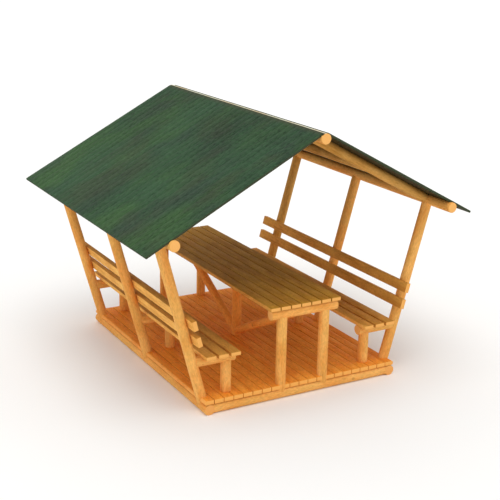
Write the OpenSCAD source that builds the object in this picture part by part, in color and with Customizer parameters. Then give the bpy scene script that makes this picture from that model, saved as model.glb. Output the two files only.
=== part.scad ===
// Open picnic pergola of round logs, in millimetres.
// A log base carries a board deck, six posts that lean outwards, a gable roof,
// a long table, and a bench with a backrest along each side.
// X runs across, Y runs along the ridge from front to back, and the ground is Z = 0.

/* [Base] */
// Diameter of the skids and the cross logs
base_log_d = 104; // [90:2:120]
// Distance between the middles of the front and back table frames
end_frame_span = 2584; // [2400:10:2900]

/* [Deck] */
// Number of boards between the two edge boards
deck_count = 19; // [17:2:21]
// Width of a deck board
deck_board_w = 95; // [85:1:105]
// Gap between two deck boards
deck_gap = 5; // [3:1:10]
// Thickness of the deck
deck_t = 42; // [30:1:50]
// Width of the board on each skid
edge_board_w = 94; // [80:1:120]
// How far the outer edge of an edge board bulges
edge_bulge = 9; // [4:1:12]
// How far the deck stops short of the skid ends
deck_setback = 8; // [2:1:30]

/* [Posts] */
// Diameter of a post
post_d = 100; // [80:2:120]
// Lean of the posts, outwards from upright
post_lean = 15.3; // [5:0.05:20]
// Length of a post's axis from the deck to the eave purlin's axis
post_len = 1638; // [1500:1:1900]
// How far a post's axis stands inside the outer edge of the deck
post_inset = 25; // [0:0.5:30]
// Distance of the outer post rows from the table frames
post_setback = 90; // [60:1:300]
// How far a post laps down over the edge of the deck
post_lap = 80; // [70:1:90]

/* [Roof] */
// Slope of the roof
roof_pitch = 28; // [20:0.5:35]
// Thickness of a roof slope
roof_t = 22; // [15:1:40]
// How far the roof reaches past the outer post rows
gable_overhang = 350; // [150:1:500]
// How far a roof slope reaches past the eave purlin, down the slope
eave_overhang = 257; // [150:1:400]
// Gap between the two slopes at the ridge
ridge_gap = 61; // [40:1:80]
// Diameter of the ridge pole
ridge_pole_d = 100; // [80:2:120]
// Depth of the two flats hewn on the ridge pole
ridge_seat = 13; // [8:1:20]
// How far the ridge pole reaches past the roof at each end
ridge_overrun = 18; // [5:1:60]
// Diameter of the eave and middle purlins
purlin_d = 100; // [80:2:120]
// How far an eave purlin reaches past the roof at each end
purlin_overrun = 28; // [5:1:60]
// Distance of a middle purlin from the ridge, down the slope
mid_purlin_run = 848; // [600:1:1000]
// Diameter of a rafter
rafter_d = 100; // [80:2:120]
// Depth of the flat hewn on purlins and rafters under the roof
roof_seat = 10; // [5:1:20]

/* [Table] */
// Height of the table top above the deck
table_h = 782; // [700:1:850]
// Number of table boards
table_count = 7; // [5:2:9]
// Width of a table board
table_board_w = 100; // [80:1:110]
// Gap between two table boards
table_gap = 10; // [5:1:15]
// Thickness of a table board
table_t = 35; // [25:1:45]
// How far the table boards reach past the front table frame
table_overhang = 52; // [50:1:200]
// Diameter of a table bearer
table_bearer_d = 100; // [80:2:120]
// How far a table bearer stops short of the table's edge
table_bearer_inset = 20; // [5:1:60]
// Diameter of a table leg
table_leg_d = 100; // [80:2:120]
// Distance between the two legs of a table frame
table_leg_span = 464; // [350:2:520]
// Diameter of the king post
king_post_d = 100; // [80:2:100]
// Diameter of a brace
brace_d = 85; // [60:1:100]
// Height of a brace's axis above the deck, at the king post
brace_foot_h = 39; // [30:1:80]

/* [Benches] */
// Height of a seat above the deck
seat_h = 425; // [380:1:480]
// Distance from the middle of the deck to the inner edge of a seat
seat_inner_x = 683; // [620:1:720]
// Number of boards in a seat
seat_count = 3; // [2:1:3]
// Width of a seat board
seat_board_w = 100; // [80:1:110]
// Gap between two seat boards
seat_gap = 25; // [5:1:30]
// Thickness of a seat board
seat_t = 35; // [25:1:45]
// How far the seats reach past the front post row
seat_overhang = 136; // [60:1:200]
// Diameter of a bench bearer
bench_bearer_d = 100; // [70:2:110]
// How far a bench bearer stops short of the seat's inner edge
bench_bearer_inset = 4; // [2:1:40]
// Diameter of a bench leg
bench_leg_d = 100; // [70:2:110]
// Distance of a bench leg's axis from the seat's inner edge
bench_leg_inset = 84; // [60:1:200]

/* [Backrests] */
// Height of a back board
back_board_h = 96; // [80:1:120]
// Thickness of a back board
back_board_t = 45; // [25:1:50]
// Distance from the deck to the lower back board, up the post
lower_board_run = 546; // [500:1:600]
// Gap between the two back boards
back_gap = 69; // [40:1:100]
// How far the back boards reach past the front post row
back_overhang = 155; // [60:1:220]

/* [Rear end] */
// How much further the table, seat and back boards reach at the back than at the front
rear_reach = 70; // [0:1:120]

/* [Joints] */
// Depth of the flat hewn on a log for the ground or a board
board_seat = 3; // [2:0.5:8]
// How far a shaped log end laps around the log that it meets
cope_depth = 25; // [10:1:30]
// Clearance between a shaped log end and the log that it meets
joint_gap = 1; // [0.5:0.5:3]

/* [Hidden] */
$fn = 64;

left = -1;
right = 1;
front = -1;
middle = 0;
back = 1;

log_color = "SandyBrown";
board_color = "Peru";
deck_color = "Chocolate";
roof_color = "DarkGreen";

// A length past any part of the pergola, for cuts that run right through it
far = 3 * end_frame_span;

// Base and deck levels
base_axis_z = base_log_d / 2 - board_seat;
base_top = base_axis_z + base_log_d / 2 - board_seat;
deck_top = base_top + deck_t;
skid_len = end_frame_span + base_log_d;
deck_len = skid_len - 2 * deck_setback;
deck_w = deck_count * deck_board_w + (deck_count - 1) * deck_gap;
edge_inner_x = deck_w / 2 + deck_gap;
edge_outer_x = edge_inner_x + edge_board_w;
skid_x = edge_inner_x + edge_board_w / 2;
edge_round_r = (pow(deck_t / 2, 2) + pow(edge_bulge, 2)) / (2 * edge_bulge);

// Rows along the ridge
end_frame_y = end_frame_span / 2;
row_y = end_frame_y - post_setback;
rows = [front, middle, back];

// Posts and the eave purlins on top of them
post_foot_x = edge_outer_x - post_inset;
eave_x = post_foot_x + post_len * sin(post_lean);
eave_z = deck_top + post_len * cos(post_lean);

// The roof's underside on each slope, and distances down it from the middle
purlin_drop = purlin_d / 2 - roof_seat;
rafter_drop = rafter_d / 2 - roof_seat;
ridge_drop = ridge_pole_d / 2 - ridge_seat;
apex_z = eave_z + (eave_x * sin(roof_pitch) + purlin_drop) / cos(roof_pitch);
ridge_z = apex_z - ridge_drop / cos(roof_pitch);
ridge_run = ridge_drop * tan(roof_pitch);
eave_run = (eave_x + purlin_drop * sin(roof_pitch)) / cos(roof_pitch);
slab_start = (ridge_gap / 2 - roof_t * sin(roof_pitch)) / cos(roof_pitch);
slab_end = eave_run + eave_overhang;
roof_len = 2 * (row_y + gable_overhang);

// Table
table_under_z = deck_top + table_h - table_t;
table_bearer_z = table_under_z + board_seat - table_bearer_d / 2;
table_w = table_count * table_board_w + (table_count - 1) * table_gap;
table_bearer_len = table_w - 2 * table_bearer_inset;
table_len = end_frame_span + 2 * table_overhang + rear_reach;
brace_foot_z = deck_top + brace_foot_h;
brace_rise = atan2(table_bearer_z - brace_foot_z, end_frame_y);
brace_reach = norm([end_frame_y, table_bearer_z - brace_foot_z]);

// Benches
seat_under_z = deck_top + seat_h - seat_t;
seat_len = 2 * (row_y + seat_overhang) + rear_reach;
bench_bearer_z = seat_under_z + board_seat - bench_bearer_d / 2;
bench_bearer_x = seat_inner_x + bench_bearer_inset;
bench_leg_x = seat_inner_x + bench_leg_inset;
bearer_post_x = post_foot_x + (bench_bearer_z - deck_top) * tan(post_lean);
bench_bearer_end = bearer_post_x - post_d / 2 / cos(post_lean) + cope_depth;

// Backrests
upper_board_run = lower_board_run + back_board_h + back_gap;
back_board_len = 2 * (row_y + back_overhang) + rear_reach;
back_face = post_d / 2 - board_seat;

// ---- Places ----

// Mirrors what is drawn for the right side when the side is left
module on_side(side) {
    mirror([side == left ? 1 : 0, 0, 0]) children();
}

// A frame on the underside of the right slope: X runs down the slope, Z is square to it
module on_slope() {
    translate([0, 0, apex_z]) rotate([0, roof_pitch, 0]) children();
}

// A frame on a right post: Z runs up the post's axis from deck level
module on_post(row) {
    translate([post_foot_x, row * row_y, deck_top]) rotate([0, post_lean, 0]) children();
}

// ---- Logs ----

// A round log along X from one place to another
module log_x(d, from, to) {
    translate([from, 0, 0]) rotate([0, 90, 0]) cylinder(d = d, h = to - from);
}

// A round log along Y, centred
module log_y(d, len) {
    rotate([90, 0, 0]) cylinder(d = d, h = len, center = true);
}

// The space that a skid takes from what is shaped to fit it, on the right
module skid_space() {
    translate([skid_x, 0, base_axis_z]) log_y(base_log_d + 2 * joint_gap, far);
}

module cross_log_space(row) {
    translate([0, row * end_frame_y, base_axis_z])
        log_x(base_log_d + 2 * joint_gap, -skid_x, skid_x);
}

module table_bearer_space(end) {
    translate([0, end * end_frame_y, table_bearer_z])
        log_x(table_bearer_d + 2 * joint_gap, -table_w, table_w);
}

module table_leg_space(end, side) {
    translate([side * table_leg_span / 2, end * end_frame_y, 0])
        cylinder(d = table_leg_d + 2 * joint_gap, h = table_under_z);
}

module king_post_space() {
    cylinder(d = king_post_d + 2 * joint_gap, h = table_under_z);
}

module bench_bearer_space(row) {
    translate([0, row * row_y, bench_bearer_z])
        log_x(bench_bearer_d + 2 * joint_gap, 0, post_foot_x);
}

module post_space(row) {
    on_post(row) cylinder(d = post_d + 2 * joint_gap, h = post_len);
}

module eave_purlin_space() {
    translate([eave_x, 0, eave_z]) log_y(purlin_d + 2 * joint_gap, far);
}

module ridge_pole_space() {
    translate([0, 0, ridge_z]) log_y(ridge_pole_d + 2 * joint_gap, far);
}

module rafter_space(end) {
    on_slope() translate([0, end * row_y, -rafter_drop])
        log_x(rafter_d + 2 * joint_gap, 0, eave_run);
}

// Everything above a slope's underside, over a length of the ridge
module above_slope(start, len) {
    on_slope() translate([start, -len / 2, 0]) cube([far, len, far]);
}

// ---- Base and deck ----

// Cuts the flats on the ground and under the deck
module base_flats() {
    difference() {
        children();
        translate([-far / 2, -far / 2, -far]) cube(far);
        translate([-far / 2, -far / 2, base_top]) cube(far);
    }
}

module skid(side) {
    color(log_color) on_side(side) base_flats()
        translate([skid_x, 0, base_axis_z]) log_y(base_log_d, skid_len);
}

module cross_log(row) {
    end_x = skid_x - base_log_d / 2 + cope_depth;
    color(log_color) difference() {
        base_flats()
            translate([0, row * end_frame_y, base_axis_z]) log_x(base_log_d, -end_x, end_x);
        for (side = [left, right]) on_side(side) skid_space();
    }
}

module deck_boards() {
    pitch = deck_board_w + deck_gap;
    color(deck_color) difference() {
        for (i = [0 : deck_count - 1])
            translate([i * pitch - deck_w / 2, -deck_len / 2, base_top])
                cube([deck_board_w, deck_len, deck_t]);
        for (end = [front, back], side = [left, right]) table_leg_space(end, side);
    }
}

module edge_board(side) {
    color(log_color) on_side(side) translate([0, deck_len / 2, base_top])
        rotate([90, 0, 0]) linear_extrude(deck_len) intersection() {
            translate([edge_inner_x, 0]) square([edge_board_w, deck_t]);
            translate([edge_outer_x - edge_round_r, deck_t / 2]) {
                circle(r = edge_round_r);
                translate([-edge_board_w, -deck_t / 2]) square([edge_board_w, deck_t]);
            }
        }
}

// ---- Posts and roof ----

module post(side, row) {
    trunk_h = post_len - purlin_d / 2 + cope_depth;
    color(log_color) on_side(side) difference() {
        on_post(row) translate([0, 0, -2 * post_lap]) cylinder(d = post_d, h = trunk_h + 2 * post_lap);
        translate([edge_outer_x + joint_gap - far, -far / 2, deck_top - far]) cube(far);
        translate([0, -far / 2, deck_top - post_lap - far]) cube(far);
        skid_space();
        eave_purlin_space();
        for (run = [lower_board_run, upper_board_run])
            on_post(row) translate([-back_face - post_d, -post_d, run - joint_gap])
                cube([post_d, 2 * post_d, back_board_h + 2 * joint_gap]);
    }
}

module eave_purlin(side) {
    color(log_color) on_side(side) difference() {
        translate([eave_x, 0, eave_z]) log_y(purlin_d, roof_len + 2 * purlin_overrun);
        above_slope(0, roof_len + 2 * joint_gap);
    }
}

module ridge_pole() {
    color(log_color) difference() {
        translate([0, 0, ridge_z]) log_y(ridge_pole_d, roof_len + 2 * ridge_overrun);
        for (side = [left, right]) on_side(side)
            above_slope(slab_start - joint_gap, roof_len + 2 * joint_gap);
    }
}

module rafter(side, end) {
    start = ridge_run + ridge_pole_d / 2 - cope_depth;
    stop = eave_run - purlin_d / 2 + cope_depth;
    color(log_color) on_side(side) difference() {
        on_slope() translate([0, end * row_y, -rafter_drop]) log_x(rafter_d, start, stop);
        above_slope(0, far);
        ridge_pole_space();
        eave_purlin_space();
        post_space(end);
    }
}

module mid_purlin(side) {
    end_y = row_y - rafter_d / 2 + cope_depth;
    color(log_color) on_side(side) difference() {
        on_slope() translate([mid_purlin_run, 0, -purlin_drop]) log_y(purlin_d, 2 * end_y);
        above_slope(0, far);
        for (end = [front, back]) rafter_space(end);
    }
}

module roof_slope(side) {
    color(roof_color) on_side(side) on_slope() translate([slab_start, -roof_len / 2, 0])
        cube([slab_end - slab_start, roof_len, roof_t]);
}

// ---- Table ----

module table_boards() {
    pitch = table_board_w + table_gap;
    color(board_color) for (i = [0 : table_count - 1])
        translate([i * pitch - table_w / 2, -end_frame_y - table_overhang, table_under_z])
            cube([table_board_w, table_len, table_t]);
}

module table_bearer(end) {
    color(log_color) difference() {
        translate([0, end * end_frame_y, table_bearer_z])
            log_x(table_bearer_d, -table_bearer_len / 2, table_bearer_len / 2);
        translate([-far / 2, -far / 2, table_under_z]) cube(far);
    }
}

module table_leg(end, side) {
    foot_z = base_top - cope_depth;
    head_z = table_bearer_z - table_bearer_d / 2 + cope_depth;
    color(log_color) difference() {
        translate([side * table_leg_span / 2, end * end_frame_y, foot_z])
            cylinder(d = table_leg_d, h = head_z - foot_z);
        cross_log_space(end);
        table_bearer_space(end);
    }
}

module king_post() {
    color(log_color) translate([0, 0, deck_top])
        cylinder(d = king_post_d, h = table_under_z - deck_top);
}

module brace(end) {
    head = brace_reach - table_bearer_d / 2 + cope_depth;
    color(log_color) difference() {
        translate([0, 0, brace_foot_z]) rotate([end * (brace_rise - 90), 0, 0])
            cylinder(d = brace_d, h = head);
        king_post_space();
        table_bearer_space(end);
        translate([-far / 2, -far / 2, deck_top - far]) cube(far);
    }
}

// ---- Benches ----

module seat_boards(side) {
    pitch = seat_board_w + seat_gap;
    color(board_color) on_side(side) for (i = [0 : seat_count - 1])
        translate([seat_inner_x + i * pitch, -row_y - seat_overhang, seat_under_z])
            cube([seat_board_w, seat_len, seat_t]);
}

module bench_bearers(side) {
    color(log_color) on_side(side) for (row = rows) difference() {
        translate([0, row * row_y, bench_bearer_z])
            log_x(bench_bearer_d, bench_bearer_x, bench_bearer_end);
        translate([-far / 2, -far / 2, seat_under_z]) cube(far);
        post_space(row);
    }
}

module bench_legs(side) {
    head_z = bench_bearer_z - bench_bearer_d / 2 + cope_depth;
    color(log_color) on_side(side) for (row = rows) difference() {
        translate([bench_leg_x, row * row_y, deck_top])
            cylinder(d = bench_leg_d, h = head_z - deck_top);
        bench_bearer_space(row);
    }
}

module back_board(side, run) {
    color(board_color) on_side(side) on_post(middle)
        translate([-back_face - back_board_t, -row_y - back_overhang, run])
            cube([back_board_t, back_board_len, back_board_h]);
}

skid(left);  // skid_left
skid(right);  // skid_right
cross_log(front);  // cross_log_front
cross_log(middle);  // cross_log_middle
cross_log(back);  // cross_log_back
deck_boards();
edge_board(left);  // edge_board_left
edge_board(right);  // edge_board_right
table_boards();
table_bearer(front);  // table_bearer_front
table_bearer(back);  // table_bearer_back
table_leg(front, left);  // table_leg_front_left
table_leg(front, right);  // table_leg_front_right
table_leg(back, left);  // table_leg_back_left
table_leg(back, right);  // table_leg_back_right
king_post();
brace(front);  // brace_front
brace(back);  // brace_back
post(left, front);  // post_left_front
post(left, middle);  // post_left_middle
post(left, back);  // post_left_back
post(right, front);  // post_right_front
post(right, middle);  // post_right_middle
post(right, back);  // post_right_back
seat_boards(left);  // seat_boards_left
seat_boards(right);  // seat_boards_right
bench_bearers(left);  // bench_bearers_left
bench_bearers(right);  // bench_bearers_right
bench_legs(left);  // bench_legs_left
bench_legs(right);  // bench_legs_right
back_board(left, lower_board_run);  // back_board_left_lower
back_board(left, upper_board_run);  // back_board_left_upper
back_board(right, lower_board_run);  // back_board_right_lower
back_board(right, upper_board_run);  // back_board_right_upper
ridge_pole();
eave_purlin(left);  // eave_purlin_left
eave_purlin(right);  // eave_purlin_right
mid_purlin(left);  // mid_purlin_left
mid_purlin(right);  // mid_purlin_right
rafter(left, front);  // rafter_left_front
rafter(left, back);  // rafter_left_back
rafter(right, front);  // rafter_right_front
rafter(right, back);  // rafter_right_back
roof_slope(left);  // roof_left
roof_slope(right);  // roof_right
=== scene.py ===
"""Looks of an open picnic pergola of round logs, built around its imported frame.

Every length is in metres, in the frame's own axes: +X runs across the pergola,
+Y along the ridge from the front gable to the back one, and the ground is Z = 0.
"""

import logging
import math
from dataclasses import dataclass, replace
from enum import Enum
from functools import cache
from typing import Callable

import bmesh
import bpy
from mathutils import Matrix, Vector


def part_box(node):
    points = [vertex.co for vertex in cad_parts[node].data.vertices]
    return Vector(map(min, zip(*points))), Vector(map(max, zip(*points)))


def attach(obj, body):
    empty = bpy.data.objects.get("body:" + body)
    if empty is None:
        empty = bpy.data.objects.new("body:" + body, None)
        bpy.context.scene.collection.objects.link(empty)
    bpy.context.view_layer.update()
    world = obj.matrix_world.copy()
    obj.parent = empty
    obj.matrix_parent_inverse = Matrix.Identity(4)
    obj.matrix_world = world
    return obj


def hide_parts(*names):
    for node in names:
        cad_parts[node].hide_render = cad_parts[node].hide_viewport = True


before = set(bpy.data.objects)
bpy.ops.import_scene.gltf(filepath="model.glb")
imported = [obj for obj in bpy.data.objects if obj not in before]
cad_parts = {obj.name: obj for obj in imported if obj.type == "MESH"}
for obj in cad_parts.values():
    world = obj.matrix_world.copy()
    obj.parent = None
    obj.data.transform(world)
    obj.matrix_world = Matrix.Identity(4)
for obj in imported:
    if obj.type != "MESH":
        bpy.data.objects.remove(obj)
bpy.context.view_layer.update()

log = logging.getLogger("pergola")

BODY = "root"
GRAIN = "grain"
# The wear attribute also carries painted shade and painted highlights.
WEAR_AND_LIGHT = "wear"
SHARPEST = math.radians(35.0)  # the sharpest edge that is shaded smoothly
SURFACE = 1e-4  # how close to a face a point counts as on it
TOUCHING = 1e-5  # how close to a cut a point counts as on it
HIGHLIGHTED_SIDE = -1.0  # a side that gets a painted highlight all over
DEEPEST_PAINTED_SHADE = 0.5  # how dark painted shade makes a log where it is deepest
X, Y, Z = range(3)
UP = Vector((0, 0, 1))

Pair = tuple[float, float]
Triple = tuple[float, float, float]
Colour = Triple
Piece = bpy.types.Object
Socket = bpy.types.NodeSocket
Outputs = bpy.types.NodeOutputs


class Named(Enum):
    """A choice whose word stands in the nodes' names."""

    @property
    def word(self) -> str:
        """The word in a node's name."""
        return self.name.lower()


class Side(Named):
    """The two long sides of the pergola."""

    LEFT = -1
    RIGHT = 1


class Row(Named):
    """The rows of posts, from front to back."""

    FRONT = -1
    MIDDLE = 0
    BACK = 1


ENDS = (Row.FRONT, Row.BACK)


def share_of(value: float) -> float:
    """Keeps a share between 0 and 1."""
    return min(max(value, 0.0), 1.0)


# ---- Selecting and shaping ----


def deselect_all() -> None:
    """Deselects every object, in object mode."""
    bpy.ops.object.select_all(action="DESELECT")


def make_active(piece: Piece) -> None:
    """Selects one object alone and makes it the active one.

    Args:
        piece: The object that the next operators act on.
    """
    deselect_all()
    piece.select_set(True)
    bpy.context.view_layer.objects.active = piece


def select_edges(piece: Piece, wanted: Callable[[Vector, Vector], bool]) -> None:
    """Selects edges of the mesh in edit mode by where their two ends are.

    Args:
        piece: The object in edit mode.
        wanted: Tells from an edge's two ends whether it is selected.
    """
    bpy.ops.mesh.select_mode(type="EDGE")
    bpy.ops.mesh.select_all(action="DESELECT")
    mesh = bmesh.from_edit_mesh(piece.data)
    for edge in mesh.edges:
        if wanted(edge.verts[0].co, edge.verts[1].co):
            edge.select_set(True)
    bmesh.update_edit_mesh(piece.data)


def cut_away(piece: Piece, point: Vector, outward: Vector) -> None:
    """Cuts a finished piece flat and closes the cut.

    Args:
        piece: The object, whose place is already in its mesh.
        point: A point on the cut.
        outward: The direction of the side that is cut away.
    """
    make_active(piece)
    bpy.ops.object.mode_set(mode="EDIT")
    bpy.ops.mesh.select_mode(type="VERT")
    bpy.ops.mesh.select_all(action="SELECT")
    bpy.ops.mesh.bisect(
        plane_co=point, plane_no=outward, use_fill=True, clear_outer=True, threshold=TOUCHING
    )
    bpy.ops.object.mode_set(mode="OBJECT")


def swell(piece: Piece, depth: float, size: float) -> None:
    """Makes a surface gently uneven, differently at each place in the pergola.

    Args:
        piece: The object, in its place.
        depth: Full depth of the unevenness.
        size: Distance between its bumps.
    """
    bumps = bpy.data.textures.new("unevenness", type="CLOUDS")
    bumps.noise_scale = size
    make_active(piece)
    modifier = piece.modifiers.new("unevenness", type="DISPLACE")
    modifier.texture = bumps
    modifier.texture_coords = "GLOBAL"
    modifier.strength = depth
    bpy.ops.object.modifier_apply(modifier=modifier.name)


def kept(piece: Piece, name: str) -> bpy.types.Attribute:
    """Gives a vector attribute of the mesh's points, and adds it if need be."""
    attributes = piece.data.attributes
    return attributes.get(name) or attributes.new(name, "FLOAT_VECTOR", "POINT")


def keep_grain(piece: Piece, along: int, pith: Vector) -> None:
    """Stores each point's place in its tree: Z along the grain, the pith at X = Y = 0.

    Args:
        piece: The object before its place is applied to its mesh.
        along: The mesh axis that the grain follows.
        pith: Where the piece's middle lies in the tree.
    """
    order = [axis for axis in (X, Y, Z) if axis != along] + [along]
    for vertex, place in zip(piece.data.vertices, kept(piece, GRAIN).data):
        place.vector = Vector([vertex.co[axis] for axis in order]) + pith


def keep_wear_and_light(piece: Piece, wear: Callable[[Vector], Triple]) -> None:
    """Stores how far each point is end grain, dark joint or painted shade, and highlight or
    underside.

    Args:
        piece: The object.
        wear: Gives those three shares, 0 to 1, for a place in the mesh.
    """
    for vertex, share in zip(piece.data.vertices, kept(piece, WEAR_AND_LIGHT).data):
        share.vector = [max(old, new) for old, new in zip(share.vector, wear(vertex.co))]


def settle(piece: Piece) -> None:
    """Puts a piece's place and turn into its mesh."""
    make_active(piece)
    bpy.ops.object.transform_apply(location=True, rotation=True, scale=True)


def smooth(piece: Piece) -> None:
    """Shades a piece smoothly, apart from its sharp edges."""
    make_active(piece)
    bpy.ops.object.shade_smooth_by_angle(angle=SHARPEST)


def joined(pieces: list[Piece], name: str) -> Piece:
    """Joins finished objects into one.

    Args:
        pieces: The objects.
        name: The name of the joined object.

    Returns:
        The joined object.
    """
    deselect_all()
    for piece in pieces:
        piece.select_set(True)
    bpy.context.view_layer.objects.active = pieces[0]
    if len(pieces) > 1:
        bpy.ops.object.join()
    whole = bpy.context.view_layer.objects.active
    whole.name = name
    whole.data.name = name
    return whole


# ---- Timber ----


def middle_of(node: str) -> Vector:
    """Gives the middle of a CAD node's box."""
    low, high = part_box(node)
    return (low + high) / 2


def axis_of(node: str, diameter: float) -> Vector:
    """Gives the middle of a level log's axis, whose underside isn't cut."""
    low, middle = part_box(node)[0], middle_of(node)
    return Vector((middle.x, middle.y, low.z + diameter / 2))


@dataclass(frozen=True)
class RoundLog:
    """A peeled round log between two points of its axis.

    Attributes:
        start: The axis at one end.
        end: The axis at the other end.
        diameter: Its diameter.
    """

    start: Vector
    end: Vector
    diameter: float

    SIDES = 40
    RING_STEP = 0.09
    FEWEST_CUTS = 3
    RIM = 0.005
    RIM_STEPS = 3
    UNEVEN = 0.0022
    BUMP_SIZE = 0.22
    TREE_SHIFT = (3.1, 5.3, 7.7)

    def model(self, name: str) -> Piece:
        """Models the log, with eased rims and a gently uneven surface.

        Args:
            name: The object's name.

        Returns:
            The finished log, with its place in its mesh.
        """
        run = self.end - self.start
        half = run.length / 2
        deselect_all()
        bpy.ops.mesh.primitive_cylinder_add(
            vertices=self.SIDES,
            radius=self.diameter / 2,
            depth=run.length,
            location=(self.start + self.end) / 2,
            rotation=run.to_track_quat("Z", "Y").to_euler(),
        )
        piece = bpy.context.object
        piece.name = name
        piece.data.name = name
        bpy.ops.object.mode_set(mode="EDIT")
        select_edges(piece, lambda a, b: abs(a.z - b.z) > half)
        cuts = max(self.FEWEST_CUTS, round(run.length / self.RING_STEP))
        bpy.ops.mesh.subdivide(number_cuts=cuts)
        select_edges(piece, lambda a, b: abs(a.z + b.z) > run.length - self.RIM)
        bpy.ops.mesh.bevel(offset=self.RIM, segments=self.RIM_STEPS, affect="EDGES")
        bpy.ops.object.mode_set(mode="OBJECT")
        along = sum(at * shift for at, shift in zip(self.start, self.TREE_SHIFT))
        keep_grain(piece, along=Z, pith=Vector((0.0, 0.0, along)))
        keep_wear_and_light(piece, lambda at: (float(abs(at.z) > half - SURFACE), 0.0, 0.0))
        swell(piece, self.UNEVEN, self.BUMP_SIZE)
        settle(piece)
        smooth(piece)
        return piece


def log_in_box(node: str, along: int, diameter: float, axis: Vector | None = None) -> Piece:
    """Models a log that runs through a CAD node's box.

    Args:
        node: The CAD node.
        along: The axis that the log follows.
        diameter: Its diameter.
        axis: A point of its axis, if that isn't where the box's underside puts it.

    Returns:
        The finished log.
    """
    start = axis_of(node, diameter) if axis is None else axis
    end = start.copy()
    start[along], end[along] = (corner[along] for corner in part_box(node))
    return RoundLog(start, end, diameter).model(f"{node}_peeled")


@dataclass(frozen=True)
class Board:
    """A planed board with eased edges, its length along Y before it is turned.

    Attributes:
        width: Size along X.
        length: Size along Y.
        thickness: Size along Z.
        round_edge: Radius of the rounding on the +X edge, if that edge is waney.
        underside: How far its -Z face has a look of its own.
        ease: Width of the bevels along its edges.
    """

    width: float
    length: float
    thickness: float
    round_edge: float = 0.0
    underside: float = 0.0
    ease: float = 0.0025

    STEP = 0.14
    FEWEST_CUTS = 3
    EASE_STEPS = 2
    ROUND_STEPS = 7
    UNEVEN = 0.0012
    BUMP_SIZE = 0.3
    TURN = 2.399963
    PITH_ASIDE = 0.055
    PITH_DEPTH = 0.03
    PITH_DEPTH_RANGE = 0.05
    TREE_STEP = 3.7
    WEAR_FADE = 0.5

    def model(self, name: str) -> Piece:
        """Models the board around the origin.

        Args:
            name: The object's name.

        Returns:
            The board, still at the origin.
        """
        deselect_all()
        bpy.ops.mesh.primitive_cube_add(size=1)
        piece = bpy.context.object
        piece.name = name
        bpy.ops.object.mode_set(mode="EDIT")
        bpy.ops.transform.resize(value=(self.width, self.length, self.thickness))
        reach = self.width / 2 - self.ease
        if self.round_edge:
            select_edges(
                piece, lambda a, b: min(a.x, b.x) > reach and abs(a.y - b.y) > self.length / 2
            )
            bpy.ops.mesh.bevel(offset=self.round_edge, segments=self.ROUND_STEPS, affect="EDGES")
        select_edges(piece, lambda a, b: (a - b).length > 2 * self.ease and self.sharp(a, b))
        bpy.ops.mesh.bevel(offset=self.ease, segments=self.EASE_STEPS, affect="EDGES")
        select_edges(piece, lambda a, b: abs(a.y - b.y) > self.length / 2)
        cuts = max(self.FEWEST_CUTS, round(self.length / self.STEP))
        bpy.ops.mesh.subdivide(number_cuts=cuts)
        bpy.ops.object.mode_set(mode="OBJECT")
        return piece

    def sharp(self, a: Vector, b: Vector) -> bool:
        """Tells from its two ends whether an edge is one of the board's square edges."""
        sizes = zip((a + b) / 2, (self.width, self.length, self.thickness))
        return sum(abs(at) > size / 2 - SURFACE for at, size in sizes) > 1

    def laid(self, pattern: Piece, place: Matrix, order: int, sides: Pair) -> Piece:
        """Copies a modelled board to its place, cut from another part of a tree.

        Args:
            pattern: The modelled board, at the origin.
            place: Where the copy goes.
            order: The copy's number, which chooses its grain.
            sides: How dark its -X side and its +X side are, or below 0, how strong their painted
                highlight is.

        Returns:
            The copy, with its place in its mesh.
        """
        copy = pattern.copy()
        copy.data = pattern.data.copy()
        bpy.context.collection.objects.link(copy)
        turn = order * self.TURN
        depth = self.PITH_DEPTH + self.PITH_DEPTH_RANGE * abs(math.sin(turn))
        pith = Vector((self.PITH_ASIDE * math.cos(turn), -depth, self.TREE_STEP * order))
        keep_grain(copy, along=Y, pith=pith)
        keep_wear_and_light(copy, lambda at: self.wear(at, sides))
        copy.matrix_world = place
        swell(copy, self.UNEVEN, self.BUMP_SIZE)
        settle(copy)
        return copy

    def wear(self, at: Vector, sides: Pair) -> Triple:
        """Tells how far a point is end grain, a dark side, and a painted highlight or an
        underside.

        Args:
            at: The point in the board.
            sides: How dark its -X side and its +X side are, or below 0, how strong their painted
                highlight is.

        Returns:
            The shares of end grain, dark joint, and painted highlight or underside.
        """
        cut = float(abs(at.y) > self.length / 2 - SURFACE)
        left = sides[0] * float(at.x < SURFACE - self.width / 2)
        reach = max(self.round_edge, SURFACE)
        inside = (self.width / 2 - at.x) / reach
        right = sides[1] * share_of((1.0 - inside) / self.WEAR_FADE)
        below = self.underside * float(at.z < SURFACE - self.thickness / 2)
        return cut, max(left, right, 0.0), max(below, -left, -right)

    def rack(
        self,
        name: str,
        places: list[Matrix],
        first: int = 0,
        joint: float = 0.0,
        rim: float = 0.0,
    ) -> Piece:
        """Models the board once and lays a copy at each place, from left to right.

        Args:
            name: The name of the joined boards.
            places: Where the boards go.
            first: The number of the first board.
            joint: How dark the sides between two boards are.
            rim: How dark the two outermost sides are, or below 0, how strong their painted
                highlight is.

        Returns:
            All the boards as one object.
        """
        pattern = self.model(name + "_pattern")
        last = len(places) - 1
        boards = []
        for i, place in enumerate(places):
            sides = (joint if i > 0 else rim, joint if i < last else rim)
            boards.append(self.laid(pattern, place, first + i, sides))
        bpy.data.objects.remove(pattern)
        whole = joined(boards, name)
        smooth(whole)
        return whole


# ---- Materials ----


@dataclass(frozen=True)
class Layer:
    """One layer of noise.

    Attributes:
        stretch: Its frequency along each axis, per metre.
        span: The noise that becomes 0 and the one that becomes 1, if it is spread.
        detail: Its number of octaves.
        shift: How far its place is moved, if it mustn't follow another layer.
        weight: How much of it is used.
    """

    stretch: Triple
    span: Pair | None = None
    detail: float = 3.0
    shift: Triple | None = None
    weight: float = 1.0


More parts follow.
